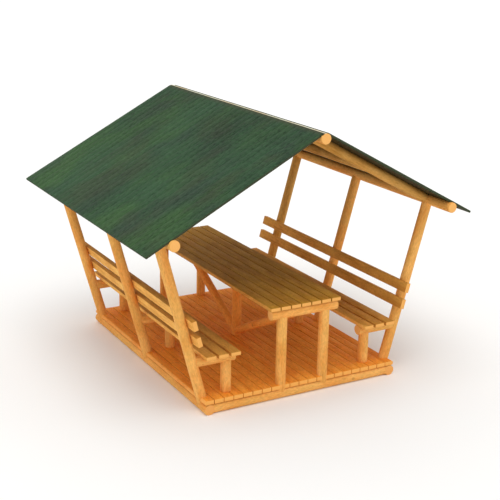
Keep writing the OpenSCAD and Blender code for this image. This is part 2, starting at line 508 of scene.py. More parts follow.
@dataclass
class Wiring:
    """Adds and joins the nodes of one tree.

    Attributes:
        tree: The node tree.
    """

    tree: bpy.types.NodeTree

    def add(self, kind: str, **settings: object) -> bpy.types.Node:
        """Adds a node and sets its properties.

        Args:
            kind: The node's type.
            **settings: Its properties.

        Returns:
            The node.
        """
        node = self.tree.nodes.new(kind)
        for name, value in settings.items():
            setattr(node, name, value)
        return node

    def feed(self, socket: Socket, value: object) -> None:
        """Links a socket to another one, or gives it a plain value.

        Args:
            socket: The input socket.
            value: An output socket, a number or a sequence of numbers.
        """
        if isinstance(value, Socket):
            self.tree.links.new(value, socket)
        else:
            socket.default_value = value

    def attribute(self, name: str) -> Socket:
        """Adds a node that reads a vector kept in the mesh."""
        return self.add("ShaderNodeAttribute", attribute_name=name).outputs["Vector"]

    def axes(self, value: Socket) -> Outputs:
        """Takes a vector apart.

        Args:
            value: The vector.

        Returns:
            Its X, Y and Z.
        """
        node = self.add("ShaderNodeSeparateXYZ")
        self.feed(node.inputs[0], value)
        return node.outputs

    def grey(self, value: Socket) -> Socket:
        """Turns a value into a grey.

        Args:
            value: The value.

        Returns:
            The grey.
        """
        node = self.add("ShaderNodeCombineColor")
        for socket in node.inputs:
            self.feed(socket, value)
        return node.outputs["Color"]

    def math(
        self, operation: str, *values: object, kind: str = "Math", **settings: object
    ) -> Socket:
        """Adds a Math node.

        Args:
            operation: Its operation.
            values: What its inputs take.
            kind: Whether it is a Math or a VectorMath node.
            settings: Its other properties.

        Returns:
            Its first output.
        """
        node = self.add(f"ShaderNode{kind}", operation=operation, **settings)
        for socket, value in zip(node.inputs, values):
            self.feed(socket, value)
        return node.outputs[0]

    def vector(self, operation: str, *values: object) -> Socket:
        """Adds a Vector Math node, as math does, and gives its vector."""
        return self.math(operation, *values, kind="VectorMath")

    def noise(self, place: object, layer: Layer, output: str = "Fac") -> Socket:
        """Adds a layer of noise.

        Args:
            place: The vector that it reads.
            layer: The layer.
            output: Which output of the noise is used.

        Returns:
            The pattern.
        """
        if layer.shift is not None:
            place = self.vector("ADD", place, layer.shift)
        node = self.add("ShaderNodeTexNoise")
        self.feed(node.inputs["Vector"], self.vector("MULTIPLY", place, layer.stretch))
        self.feed(node.inputs["Scale"], 1.0)
        self.feed(node.inputs["Detail"], layer.detail)
        found = node.outputs[output]
        return found if layer.span is None else self.spread(found, *layer.span)

    def spread(self, value: object, low: float, high: float) -> Socket:
        """Spreads a range of values over 0 to 1, with soft ends.

        Args:
            value: What is spread.
            low: What becomes 0.
            high: What becomes 1.

        Returns:
            The spread value.
        """
        node = self.add("ShaderNodeMapRange", interpolation_type="SMOOTHSTEP")
        self.feed(node.inputs["Value"], value)
        self.feed(node.inputs["From Min"], low)
        self.feed(node.inputs["From Max"], high)
        return node.outputs["Result"]

    def blend(self, share: object, first: object, second: object, how: str = "MIX") -> Socket:
        """Mixes two colours, and keeps the mix between black and white.

        Args:
            share: The share of the second colour.
            first: The first colour or socket.
            second: The second colour or socket.
            how: The way that they mix.

        Returns:
            The mixed colour.
        """
        node = self.add("ShaderNodeMix", data_type="RGBA", blend_type=how, clamp_result=True)
        sockets = {s.identifier: s for s in node.inputs}
        self.feed(sockets["Factor_Float"], share)
        for key, colour in (("A_Color", first), ("B_Color", second)):
            plain = not isinstance(colour, Socket)
            self.feed(sockets[key], (*colour, 1.0) if plain else colour)
        return next(s for s in node.outputs if s.identifier == "Result_Color")

    def tint(self, colour: object, other: object, pattern: Socket, most: float) -> Socket:
        """Mixes another colour in where a pattern is high, at most as far as told."""
        return self.blend(self.math("MULTIPLY", pattern, most), colour, other)


class Softwood:
    """The grain of softwood as a node group: yearly rings, streaks, flecks and knots.

    Its Place has Z along the grain and the pith at X = Y = 0, in metres. Knots grow
    in cells, and their sizes are shares of a cell's.
    """

    RING_GAP = 0.005
    LATE_WOOD = 2.5
    RINGS_FELT = 0.4
    WANDER = Layer((6.0, 6.0, 0.9), detail=2.0)
    WANDER_REACH = (0.03, 0.03, 0.0)
    KNOT_CELLS = (8.0, 8.0, 6.5)
    KNOTLESS = 0.55
    KNOT_SIZE = 0.05
    KNOT_SIZE_RANGE = 0.07
    KNOT_RIM = (1.15, 0.75)
    HALO_RIM = (2.6, 0.9)
    HALO_PUSH = 0.006
    BROAD = Layer((30.0, 30.0, 1.3), (0.33, 0.67), weight=0.55)
    FINE = Layer((65.0, 65.0, 4.0), (0.3, 0.7), weight=0.45)
    FIBRES = Layer((420.0, 420.0, 14.0), detail=2.0, weight=0.6)
    ASIDE = (3.1, 7.7, 1.3)
    LAYERS = {
        "Hue": Layer((11.0, 11.0, 3.6), (0.36, 0.64)),
        "Patches": Layer((9.0, 9.0, 2.5), (0.40, 0.66), shift=ASIDE),
        "Flecks": Layer((110.0, 110.0, 30.0), (0.55, 0.75), detail=1.0),
        "Speckle": Layer((75.0, 75.0, 28.0), (0.25, 0.75), detail=2.0, shift=ASIDE),
    }

    @classmethod
    @cache
    def group(cls) -> bpy.types.NodeTree:
        """Builds the node group, once.

        Returns:
            The node group.
        """
        group = bpy.data.node_groups.new("softwood_grain", "ShaderNodeTree")
        face = group.interface
        face.new_socket("Place", in_out="INPUT", socket_type="NodeSocketVector")
        ring_gap = face.new_socket("Ring Gap", in_out="INPUT", socket_type="NodeSocketFloat")
        ring_gap.default_value = cls.RING_GAP
        for name in ("Streaks", "Rings", "Knots", "Relief", *cls.LAYERS):
            face.new_socket(name, in_out="OUTPUT", socket_type="NodeSocketFloat")
        wiring = Wiring(group)
        given = wiring.add("NodeGroupInput").outputs
        result = wiring.add("NodeGroupOutput").inputs
        place = given["Place"]

        wander = wiring.noise(place, cls.WANDER, output="Color")
        wander = wiring.vector("SUBTRACT", wander, (0.5, 0.5, 0.5))
        wander = wiring.vector("MULTIPLY", wander, cls.WANDER_REACH)
        bent = wiring.vector("ADD", place, wander)
        knots, halo = cls.knots(wiring, place)
        radius = wiring.add("ShaderNodeVectorMath", operation="LENGTH")
        wiring.feed(radius.inputs[0], wiring.vector("MULTIPLY", bent, (1.0, 1.0, 0.0)))
        reach = wiring.math("MULTIPLY_ADD", halo, cls.HALO_PUSH, radius.outputs["Value"])
        years = wiring.math("DIVIDE", reach, given["Ring Gap"])
        rings = wiring.math("POWER", wiring.math("FRACT", years), cls.LATE_WOOD)
        fine = wiring.math("MULTIPLY", wiring.noise(bent, cls.FINE), cls.FINE.weight)
        broad = wiring.noise(bent, cls.BROAD)
        streaks = wiring.math("MULTIPLY_ADD", broad, cls.BROAD.weight, fine, use_clamp=True)
        felt = wiring.math("MULTIPLY", rings, cls.RINGS_FELT)
        fibres = wiring.noise(bent, cls.FIBRES)
        relief = wiring.math("MULTIPLY_ADD", fibres, cls.FIBRES.weight, felt)

        made = {"Streaks": streaks, "Rings": rings, "Knots": knots, "Relief": relief}
        for name, layer in cls.LAYERS.items():
            made[name] = wiring.noise(bent, layer)
        for name, value in made.items():
            wiring.feed(result[name], value)
        return group

    @classmethod
    def knots(cls, wiring: Wiring, place: Socket) -> tuple[Socket, Socket]:
        """Wires the knots, which only some of their cells hold.

        Args:
            wiring: The group's wiring.
            place: The group's Place.

        Returns:
            The knots, and the halo in which the rings bend round them.
        """
        cells = wiring.add("ShaderNodeTexVoronoi", feature="F1")
        wiring.feed(cells.inputs["Vector"], wiring.vector("MULTIPLY", place, cls.KNOT_CELLS))
        wiring.feed(cells.inputs["Scale"], 1.0)
        picked = wiring.add("ShaderNodeSeparateColor")
        wiring.feed(picked.inputs["Color"], cells.outputs["Color"])
        grown = wiring.math("GREATER_THAN", picked.outputs[0], cls.KNOTLESS)
        sizes = (cls.KNOT_SIZE_RANGE, cls.KNOT_SIZE)
        size = wiring.math("MULTIPLY_ADD", picked.outputs[1], *sizes)
        near = wiring.math("DIVIDE", cells.outputs["Distance"], size)
        return tuple(
            wiring.math("MULTIPLY", wiring.spread(near, *rim), grown)
            for rim in (cls.KNOT_RIM, cls.HALO_RIM)
        )


@dataclass(frozen=True, kw_only=True)
class Finish:
    """A finish on wood, through which the grain is felt.

    Attributes:
        name: The material's name.
        gloss: Its specular level.
        roughness: Its roughness where it is smoothest.
        relief: Strength and depth of the grain's relief.
        ring_gap: Distance between yearly rings.
    """

    name: str
    gloss: float
    roughness: float = 0.6
    relief: Pair
    ring_gap: float = Softwood.RING_GAP

    @cache
    def material(self) -> bpy.types.Material:
        """Builds the material, once.

        Returns:
            The material.
        """
        made = bpy.data.materials.new(self.name)
        made.use_nodes = True
        wiring = Wiring(made.node_tree)
        wood = wiring.add("ShaderNodeGroup", node_tree=Softwood.group())
        wiring.feed(wood.inputs["Place"], wiring.attribute(GRAIN))
        wiring.feed(wood.inputs["Ring Gap"], self.ring_gap)
        wear = wiring.axes(wiring.attribute(WEAR_AND_LIGHT))
        colour, roughness = self.coat(wiring, wood.outputs, wear)
        bump = wiring.add("ShaderNodeBump")
        strength, depth = self.relief
        wiring.feed(bump.inputs["Strength"], strength)
        wiring.feed(bump.inputs["Distance"], depth)
        wiring.feed(bump.inputs["Height"], wood.outputs["Relief"])
        shader = made.node_tree.nodes["Principled BSDF"].inputs
        wiring.feed(shader["Base Color"], colour)
        wiring.feed(shader["Roughness"], roughness)
        wiring.feed(shader["Specular IOR Level"], self.gloss)
        wiring.feed(shader["Normal"], bump.outputs["Normal"])
        return made

    def coat(self, wiring: Wiring, grown: Outputs, wear: Outputs) -> tuple[Socket, Socket]:
        """Wires what the finish looks like.

        Args:
            wiring: The material's wiring.
            grown: What the grain group puts out.
            wear: X, end grain. Y, dark joints and painted shade. Z, a painted highlight or an
                underside.

        Returns:
            The colour and the roughness.
        """
        raise NotImplementedError


@dataclass(frozen=True, kw_only=True)
class VarnishedWood(Finish):
    """Softwood under a honey varnish.

    Attributes:
        pale: Colour of the early wood.
        deep: Colour of the dark streaks.
        gold: Colour of the light patches.
        dull: Colour of the dull patches.
        end: Colour of cut end grain.
        knot: Colour of the knots and flecks.
        joint: Colour of the sides that lie in a joint, and of painted shade.
        bleach: How much a painted highlight brightens the wood, for each colour channel.
    """

    gloss: float = 0.08
    relief: Pair = (0.35, 0.0008)
    pale: Colour
    deep: Colour
    gold: Colour
    dull: Colour
    end: Colour
    knot: Colour = (0.28, 0.085, 0.014)
    joint: Colour = (0.17, 0.055, 0.012)
    # The default gain makes the painted highlight on the ridge pole's top.
    bleach: Triple = (0.98, 1.9, 5.6)

    RINGS = 0.3
    RINGS_ON_ENDS = 0.35
    MOST = {"Tone": 0.8, "Hue": 0.75, "Patches": 0.5, "Flecks": 0.2, "Knots": 0.4}
    SPECKLE = (0.2, 0.88)
    STREAKS_ROUGHEN = 0.16

    def coat(self, wiring: Wiring, grown: Outputs, wear: Outputs) -> tuple[Socket, Socket]:
        """Wires the varnish.

        Args:
            wiring: The material's wiring.
            grown: What the grain group puts out.
            wear: X, end grain. Y, dark joints and painted shade. Z, a painted highlight.

        Returns:
            The colour and the roughness.
        """
        tone = wiring.math("MULTIPLY_ADD", grown["Rings"], self.RINGS, grown["Streaks"])
        tone = wiring.math("MULTIPLY", tone, self.MOST["Tone"], use_clamp=True)
        colour = wiring.blend(tone, self.pale, self.deep)
        for name, other in (("Hue", self.gold), ("Patches", self.dull), ("Flecks", self.knot)):
            colour = wiring.tint(colour, other, grown[name], self.MOST[name])
        mottled = wiring.grey(wiring.math("MULTIPLY_ADD", grown["Speckle"], *self.SPECKLE))
        colour = wiring.blend(1.0, colour, mottled, how="MULTIPLY")
        colour = wiring.tint(colour, self.knot, grown["Knots"], self.MOST["Knots"])
        # The painted highlight: the same wood, brightened.
        bleached = wiring.blend(1.0, colour, self.bleach, how="MULTIPLY")
        ringed = wiring.tint(self.end, self.deep, grown["Rings"], self.RINGS_ON_ENDS)
        for axis, other in (("Y", self.joint), ("Z", bleached), ("X", ringed)):
            colour = wiring.blend(wear[axis], colour, other)
        rough = (grown["Streaks"], self.STREAKS_ROUGHEN, self.roughness)
        return colour, wiring.math("MULTIPLY_ADD", *rough)


@dataclass(frozen=True, kw_only=True)
class StainedRoof(Finish):
    """Roof boards under a dark green stain, patchy along the slope.

    Attributes:
        green: The stain's main colour.
        slate: Colour of its dark patches.
        moss: Colour of its yellow-green patches.
        brown: Colour of the wood that shows through.
        rim: Colour of the boards' cut edges.
        under: Colour of their undersides, unstained wood darkened as painted shade.
        top: Height of the slopes' upper edges.
        worn_band: Height of the band under those edges that is darkened as painted shade.
    """

    gloss: float = 0.1
    relief: Pair = (0.5, 0.001)
    green: Colour
    slate: Colour
    moss: Colour
    brown: Colour
    rim: Colour
    under: Colour
    top: float
    worn_band: float = 0.026

    WANDER = Layer((1.6, 2.2, 1.6))
    WANDER_REACH = (0.4, 0.25, 0.4)
    MOSSY = Layer((1.1, 1.5, 1.1), (0.40, 0.64), weight=0.75)
    DULL = Layer((1.5, 2.1, 1.5), (0.46, 0.68), 4.0, (5.3, 2.9, 4.1), 0.6)
    BARE = Layer((1.5, 2.4, 1.5), (0.50, 0.7), 4.0, (1.7, 9.4, 6.2), 0.5)
    STREAKS = Layer((3.2, 14.0, 3.2), detail=5.0, weight=0.55)
    CLOUDS = Layer((0.8, 1.1, 0.8), shift=(8.8, 4.4, 2.2), weight=0.7)
    FIBRES = Layer((18.0, 80.0, 18.0), weight=0.4)
    MOTTLE = Layer((30.0, 75.0, 30.0), detail=2.0, weight=1.9)
    SHADE = (-0.28, -0.25)
    WORN = 0.8
    FIBRES_ROUGHEN = 0.2

    def coat(self, wiring: Wiring, grown: Outputs, wear: Outputs) -> tuple[Socket, Socket]:
        """Wires the stain, which hides the wood's own colours.

        Args:
            wiring: The material's wiring.
            grown: What the grain group puts out.
            wear: X, end grain. Y, dark joints. Z, the underside, darkened as painted shade.

        Returns:
            The colour and the roughness.
        """
        place = wiring.add("ShaderNodeTexCoord").outputs["Object"]
        wander = wiring.noise(place, self.WANDER, output="Color")
        wander = wiring.vector("MULTIPLY_ADD", wander, self.WANDER_REACH, place)
        patches = ((self.MOSSY, self.moss), (self.DULL, self.slate), (self.BARE, self.brown))
        colour = self.green
        for layer, other in patches:
            colour = wiring.tint(colour, other, wiring.noise(wander, layer), layer.weight)
        height = wiring.axes(place)["Z"]
        fibres = wiring.noise(place, self.FIBRES)
        shades = (
            (wiring.noise(place, self.STREAKS), self.STREAKS),
            (wiring.noise(wander, self.CLOUDS), self.CLOUDS),
            (fibres, self.FIBRES),
            (wiring.noise(place, self.MOTTLE), self.MOTTLE),
        )
        shade = wiring.math("MULTIPLY_ADD", height, *self.SHADE)
        for pattern, layer in shades:
            shade = wiring.math("MULTIPLY_ADD", pattern, layer.weight, shade)
        colour = wiring.blend(1.0, colour, wiring.grey(shade), how="MULTIPLY")
        # Painted shade along the slopes' top edges, at the ridge.
        ridge_shade = wiring.spread(height, self.top - self.worn_band, self.top)
        colour = wiring.tint(colour, self.rim, ridge_shade, self.WORN)
        edge = wiring.math("MAXIMUM", wear["X"], wear["Y"])
        colour = wiring.blend(edge, colour, self.rim)
        # The undersides: unstained wood, darkened as painted shade.
        colour = wiring.blend(wear["Z"], colour, self.under)
        rough = (fibres, self.FIBRES_ROUGHEN, self.roughness)
        return colour, wiring.math("MULTIPLY_ADD", *rough)


class Look(Enum):
    """The finishes on the pergola's pieces.

    The logs of the base stand on the ground, and shaded ones are close under the roof, a
    darker copy of the logs' finish as painted shade. The ridge pole has a painted highlight
    along its top and painted shade beside it, the amber logs under the table are redder as
    painted shade lit by bounced light, and the edge is that of the deck, with a painted
    highlight on its sides. The boards' tops are darker than the logs as painted shade.
    """

    LOGS = VarnishedWood(
        name="peeled_log",
        pale=(0.95, 0.434, 0.106),
        deep=(0.78, 0.305, 0.056),
        gold=(0.97, 0.530, 0.150),
        dull=(0.76, 0.400, 0.090),
        end=(0.96, 0.500, 0.150),
    )
    BASE = replace(LOGS, name="base_log", end=(0.90, 0.420, 0.118))
    # Painted shade: a darker copy of the logs' finish, for logs close under the roof.
    AGED = VarnishedWood(
        name="aged_log",
        pale=(0.70, 0.360, 0.086),
        deep=(0.48, 0.208, 0.030),
        gold=(0.77, 0.430, 0.115),
        dull=(0.46, 0.230, 0.044),
        end=(0.72, 0.420, 0.130),
    )
    # Its joint colour is the colour of the painted shade strips beside the pole's top.
    RIDGE = replace(LOGS, name="ridge_log", joint=(0.045, 0.042, 0.020))
    # Painted shade: a redder copy of the logs' finish, for the bounce-lit shade under the table.
    AMBER = VarnishedWood(
        name="amber_log",
        pale=(0.98, 0.370, 0.066),
        deep=(0.90, 0.285, 0.042),
        gold=(0.98, 0.440, 0.094),
        dull=(0.86, 0.325, 0.056),
        end=(0.96, 0.450, 0.120),
    )
    # Darker than the logs as painted shade on tops under the roof; lit sides get a painted
    # highlight.
    BOARDS = VarnishedWood(
        name="planed_board",
        pale=(0.73, 0.325, 0.058),
        deep=(0.51, 0.195, 0.027),
        gold=(0.78, 0.380, 0.072),
        dull=(0.54, 0.240, 0.040),
        end=(0.96, 0.480, 0.128),
        bleach=(1.42, 1.62, 2.15),
    )
    # Darker still than the other boards, as painted shade under the roof.
    TABLE = VarnishedWood(
        name="table_board",
        pale=(0.61, 0.282, 0.035),
        deep=(0.42, 0.167, 0.016),
        gold=(0.65, 0.330, 0.043),
        dull=(0.44, 0.206, 0.024),
        end=(0.96, 0.480, 0.128),
        bleach=(1.46, 1.46, 2.40),
    )
    DECK = VarnishedWood(
        name="deck_board",
        pale=(0.97, 0.345, 0.040),
        deep=(0.80, 0.215, 0.018),
        gold=(0.98, 0.400, 0.054),
        dull=(0.84, 0.280, 0.032),
        end=(0.98, 0.480, 0.115),
    )
    EDGE = replace(DECK, name="waney_board", bleach=(1.06, 1.24, 2.30))
    ROOF = StainedRoof(
        name="green_stain",
        green=(0.031, 0.074, 0.034),
        slate=(0.031, 0.048, 0.036),
        moss=(0.042, 0.096, 0.031),
        brown=(0.046, 0.056, 0.030),
        rim=(0.050, 0.060, 0.032),
        # Unstained wood under the boards, darkened as painted shade.
        under=(0.040, 0.027, 0.005),
        top=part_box("roof_left")[1].z,
    )


# ---- The pergola ----


@dataclass(kw_only=True)
class Assembly:
    """A part of the pergola whose pieces stand for CAD nodes.

    Attributes:
        diameter: Diameter of its logs.
        cope: How far a log's end runs into the log that it meets.
        pitch: Slope of the roof, in degrees.
    """

    diameter: float = 0.1
    cope: float = 0.025
    pitch: float = 28.0

    def place(self, piece: Piece, look: Look, slot: str, *nodes: str) -> None:
        """Dresses a finished piece and lets it stand for its CAD nodes.

        Args:
            piece: The finished piece.
            look: The finish that it wears.
            slot: A material slot's name, which is not used.
            *nodes: The CAD nodes that it replaces.
        """
        piece.data.materials.clear()
        piece.data.materials.append(look.value.material())
        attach(piece, BODY)
        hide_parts(*nodes)
        log.info("%s: %d faces", piece.name, len(piece.data.polygons))

    def place_log(self, piece: Piece, node: str, look: Look = Look.LOGS) -> None:
        """Dresses a finished log and lets it stand for its CAD node."""
        self.place(piece, look, "logs", node)


@dataclass(kw_only=True)
class BoardWork(Assembly):
    """A part of the pergola with boards side by side.

    Attributes:
        count: Number of boards.
        gap: Gap between two boards, or below 0, how far they overlap.
        joint: How dark their sides are between them.
        rim: How dark the two outermost sides are, or below 0, how strong their painted highlight
            is.
    """

    count: int
    gap: float
    joint: float
    # The outermost sides get a painted highlight unless a part says otherwise.
    rim: float = HIGHLIGHTED_SIDE

    def share_out(self, node: str, axis: int) -> tuple[float, list[Matrix]]:
        """Shares out a CAD node's box among the boards.

        Args:
            node: The CAD node.
            axis: The axis along which the boards follow each other.

        Returns:
            A board's width and the boards' places.
        """
        low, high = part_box(node)
        width = (high[axis] - low[axis] - (self.count - 1) * self.gap) / self.count
        middle = (low + high) / 2
        places = []
        for i in range(self.count):
            middle[axis] = low[axis] + width / 2 + i * (width + self.gap)
            places.append(Matrix.Translation(middle))
        return width, places

    def level_boards(self, node: str, first: int) -> Piece:
        """Lays level boards in a CAD node's box.

        Args:
            node: The CAD node.
            first: The first board's number, which chooses its grain.

        Returns:
            The boards as one object.
        """
        low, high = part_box(node)
        width, places = self.share_out(node, X)
        name = node.replace("_boards", "") + "_planed_boards"
        board = Board(width, high.y - low.y, high.z - low.z)
        return board.rack(name, places, first, self.joint, self.rim)


@dataclass(kw_only=True)
class Base(Assembly):
    """The two skids and the three cross logs that carry the deck.

    Attributes:
        diameter: Diameter of the logs before their flats are hewn.
        crevice: How far below the deck the logs are darkened by painted shade.
    """

    diameter: float = 0.104
    crevice: float = 0.014

    def build(self) -> None:
        """Models the base logs."""
        for side in Side:
            self.hewn(f"skid_{side.word}", Y)
        for row in Row:
            self.hewn(f"cross_log_{row.word}", X)

    def hewn(self, node: str, along: int) -> None:
        """Models one base log with its two flats.

        Args:
            node: The CAD node that it stands for.
            along: The axis that it follows.
        """
        low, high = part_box(node)
        piece = log_in_box(node, along, self.diameter, middle_of(node))
        cut_away(piece, low, -UP)
        cut_away(piece, high, UP)
        # Painted shade: the log darkens towards its top, in the crevice under the deck.
        shaded = high.z - self.crevice
        keep_wear_and_light(piece, lambda at: (0.0, DEEPEST_PAINTED_SHADE * share_of((at.z - shaded) / self.crevice), 0.0))
        self.place_log(piece, node, Look.BASE)


@dataclass(kw_only=True)
class Deck(BoardWork):
    """The deck boards and the waney boards along the two edges.

    Attributes:
        edge_round: Rounding of an edge board's outer edge.
    """

    count: int = 19
    gap: float = 0.005
    joint: float = 0.25
    rim: float = 0.6
    edge_round: float = 0.017

    FIRST = 0
    FIRST_EDGE = 40

    def build(self) -> None:
        """Models the deck."""
        node = "deck_boards"
        self.place(self.level_boards(node, self.FIRST), Look.DECK, "deck", node)
        for side in Side:
            node = f"edge_board_{side.word}"
            low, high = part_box(node)
            turned = Matrix.Rotation(math.pi if side is Side.LEFT else 0.0, 4, "Z")
            place = Matrix.Translation(middle_of(node)) @ turned
            board = Board(*(high - low), round_edge=self.edge_round)
            first = self.FIRST_EDGE + side.value
            # Both sides of the edge board get a painted highlight.
            edge = board.rack(f"{node}_waney", [place], first, rim=HIGHLIGHTED_SIDE)
            self.place(edge, Look.EDGE, "logs", node)


@dataclass(kw_only=True)
class Frame(Assembly):
    """The leaning posts and the purlins, rafters and ridge pole that they carry.

    Attributes:
        inset: How far a post's axis stands inside the deck's outer edge.
        head_x: Distance of a rafter's upper end from the middle.
        bleached: Where the painted highlight along the ridge pole's top ends, in degrees from its
            top.
        bleached_fade: How many degrees before that it starts to fade.
        side_shade: Where the painted shade strips beside it end, in degrees from its top.
        dirt: Where painted shade starts to darken a rafter's side towards the boards, and where it
            is darkest.
    """

    inset: float = 0.025
    head_x: float = 0.0193
    bleached: float = 14.0
    bleached_fade: float = 8.0
    side_shade: float = 52.0
    dirt: Pair = (0.2, 0.8)

    def purlin_axis(self, side: Side) -> Vector:
        """Gives the middle of an eave purlin's axis."""
        return axis_of(f"eave_purlin_{side.word}", self.diameter)

    def post_foot(self, side: Side) -> Vector:
        """Gives a post row's axis at deck level, at Y = 0.

        Args:
            side: The posts' side.

        Returns:
            The point on the axis.
        """
        low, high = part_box(f"edge_board_{side.word}")
        outer = max(abs(low.x), abs(high.x))
        return Vector((side.value * (outer - self.inset), 0.0, high.z))

    def lean(self, side: Side) -> Vector:
        """Gives the direction of a post's axis, upwards."""
        return (self.purlin_axis(side) - self.post_foot(side)).normalized()

    def outward(self, side: Side) -> Vector:
        """Gives the direction square to a roof slope, upwards."""
        tilt = math.radians(self.pitch)
        return Vector((side.value * math.sin(tilt), 0, math.cos(tilt)))

    def build(self) -> None:
        """Models the posts and the roof's logs."""
        for side in Side:
            for row in Row:
                self.post(side, row)
            purlin = f"eave_purlin_{side.word}"
            self.place_log(log_in_box(purlin, Y, self.diameter), purlin)
            purlin = f"mid_purlin_{side.word}"
            self.under_boards(log_in_box(purlin, Y, self.diameter), side, purlin)
            for end in ENDS:
                self.rafter(side, end)
        self.ridge_pole()

    def post(self, side: Side, row: Row) -> None:
        """Models a post, whose foot laps over the deck's edge.

        Args:
            side: The post's side.
            row: The post's row.
        """
        node = f"post_{side.word}_{row.word}"
        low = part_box(node)[0]
        across = Vector((0, middle_of(node).y, 0))
        foot = self.post_foot(side) + across
        axis = self.lean(side)
        head = self.purlin_axis(side) + across - axis * (self.diameter / 2 - self.cope)
        drop = foot.z - low.z + self.diameter / 2
        piece = RoundLog(foot - axis * drop, head, self.diameter).model(f"{node}_peeled")
        cut_away(piece, low, -UP)
        # The back right post gets the darker painted shade finish.
        darkened = side is Side.RIGHT and row is Row.BACK
        self.place_log(piece, node, Look.AGED if darkened else Look.LOGS)

    def ridge_pole(self) -> None:
        """Models the ridge pole."""
        node = "ridge_pole"
        low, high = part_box(node)
        axis = axis_of(node, self.diameter)
        piece = log_in_box(node, Y, self.diameter)
        inner = (low.y + RoundLog.RIM, high.y - RoundLog.RIM)
        # A painted highlight along the pole's top, with painted shade strips beside it.
        keep_wear_and_light(piece, lambda at: self.ridge_wear(at, axis.z, inner))
        self.place_log(piece, node, Look.RIDGE)

    def ridge_wear(self, at: Vector, axis_z: float, inner: Pair) -> Triple:
        """Tells where the pole, between the slopes, has a painted top highlight and painted shade.

        Args:
            at: A point on the pole.
            axis_z: Height of the pole's axis.
            inner: The stretch of the pole between its two rims.

        Returns:
            The shares of end grain, painted shade and painted highlight.
        """
        turned = math.degrees(math.atan2(abs(at.x), at.z - axis_z))
        if not inner[0] < at.y < inner[1] or turned > self.side_shade:
            return 0.0, 0.0, 0.0
        return 0.0, 1.0, share_of((self.bleached - turned) / self.bleached_fade)

    def under_boards(self, piece: Piece, side: Side, node: str) -> None:
        """Hews a log flat under the roof boards and lets it stand for its CAD node.

        Args:
            piece: The finished log.
            side: The slope that it carries.
            node: The CAD node.
        """
        corners = [corner.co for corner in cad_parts[f"roof_{side.word}"].data.vertices]
        x, z = min((abs(at.x), at.z) for at in corners)
        cut_away(piece, Vector((side.value * x, 0, z)), self.outward(side))
        # Logs close under the boards get the darker painted shade finish.
        self.place_log(piece, node, Look.AGED)

    def rafter(self, side: Side, end: Row) -> None:
        """Models a rafter from the ridge pole to the eave purlin.

        Args:
            side: The rafter's slope.
            end: The gable that it stands at.
        """
        node = f"rafter_{side.word}_{end.word}"
        outward = self.outward(side)
        up_slope = Vector((-outward.z, 0, outward.x)) * side.value
        foot = self.purlin_axis(side) + Vector((0, middle_of(node).y, 0))
        start = foot + up_slope * (self.diameter / 2 - self.cope)
        head = foot + up_slope * ((abs(foot.x) - self.head_x) / outward.z)
        piece = RoundLog(start, head, self.diameter).model(f"{node}_peeled")
        # Painted shade on the rafter's upper side, close under the roof boards.
        keep_wear_and_light(piece, lambda at: (0.0, self.dirt_under_boards((at - foot).dot(outward)), 0.0))
        self.under_boards(piece, side, node)

    def dirt_under_boards(self, height: float) -> float:
        """Tells how dark painted shade makes a rafter at a height over its axis, square to the
        slope.
        """
        low, high = self.dirt
        return DEEPEST_PAINTED_SHADE * share_of((height / (self.diameter / 2) - low) / (high - low))


@dataclass(kw_only=True)
class RoofCover(BoardWork):
    """The boards of the two roof slopes, laid up the slope.

    Attributes:
        thickness: Thickness of a roof board.
        ease: Width of the bevels along a board's edges.
    """

    count: int = 30
    gap: float = -0.0014
    joint: float = 0.7
    rim: float = 1.0
    thickness: float = 0.022
    ease: float = 0.004

    FIRST = 60

    def build(self) -> None:
        """Models both slopes."""
        tilt = math.radians(self.pitch)
        for side in Side:
            node = f"roof_{side.word}"
            low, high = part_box(node)
            length = (high.x - low.x - self.thickness * math.sin(tilt)) / math.cos(tilt)
            width, places = self.share_out(node, Y)
            lay = Matrix.Rotation(side.value * tilt, 4, "Y") @ Matrix.Rotation(math.pi / 2, 4, "Z")
            board = Board(width, length, self.thickness, underside=1.0, ease=self.ease)
            laid = [place @ lay for place in places]
            piece = board.rack(f"{node}_stained_boards", laid, self.FIRST, self.joint, self.rim)
            self.place(piece, Look.ROOF, "roof", node)


@dataclass(kw_only=True)
class Table(BoardWork):
    """The long table: boards, bearers, legs, king post and braces.

    Attributes:
        brace_diameter: Diameter of a brace.
        brace_foot: Height of a brace's axis above the deck at the king post.
    """

    count: int = 7
    gap: float = 0.010
    joint: float = 0.1
    brace_diameter: float = 0.085
    brace_foot: float = 0.039

    FIRST = 20

    def build(self) -> None:
        """Models the table."""
        node = "table_boards"
        self.place(self.level_boards(node, self.FIRST), Look.TABLE, "boards", node)
        self.upright("king_post", Look.AMBER)
        for end in ENDS:
            for side in Side:
                self.upright(f"table_leg_{end.word}_{side.word}")
            self.bearer(end)
            self.brace(end)

    def upright(self, node: str, look: Look = Look.LOGS) -> None:
        """Models the log that stands for an upright CAD node."""
        self.place_log(log_in_box(node, Z, self.diameter), node, look)

    def bearer(self, end: Row) -> None:
        """Models the bearer at one end of the table, hewn flat under the boards.

        Args:
            end: The bearer's end of the table.
        """
        node = f"table_bearer_{end.word}"
        piece = log_in_box(node, X, self.diameter)
        cut_away(piece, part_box(node)[1], UP)
        self.place_log(piece, node)

    def brace(self, end: Row) -> None:
        """Models a brace from the king post's foot to a bearer.

        Args:
            end: The brace's end of the table.
        """
        node = f"brace_{end.word}"
        bearer = axis_of(f"table_bearer_{end.word}", self.diameter)
        bearer.x = 0.0
        foot = Vector((0, 0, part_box("deck_boards")[1].z + self.brace_foot))
        head = bearer - (bearer - foot).normalized() * (self.diameter / 2 - self.cope)
        piece = RoundLog(foot, head, self.brace_diameter).model(f"{node}_peeled")
        self.place_log(piece, node, Look.AMBER)


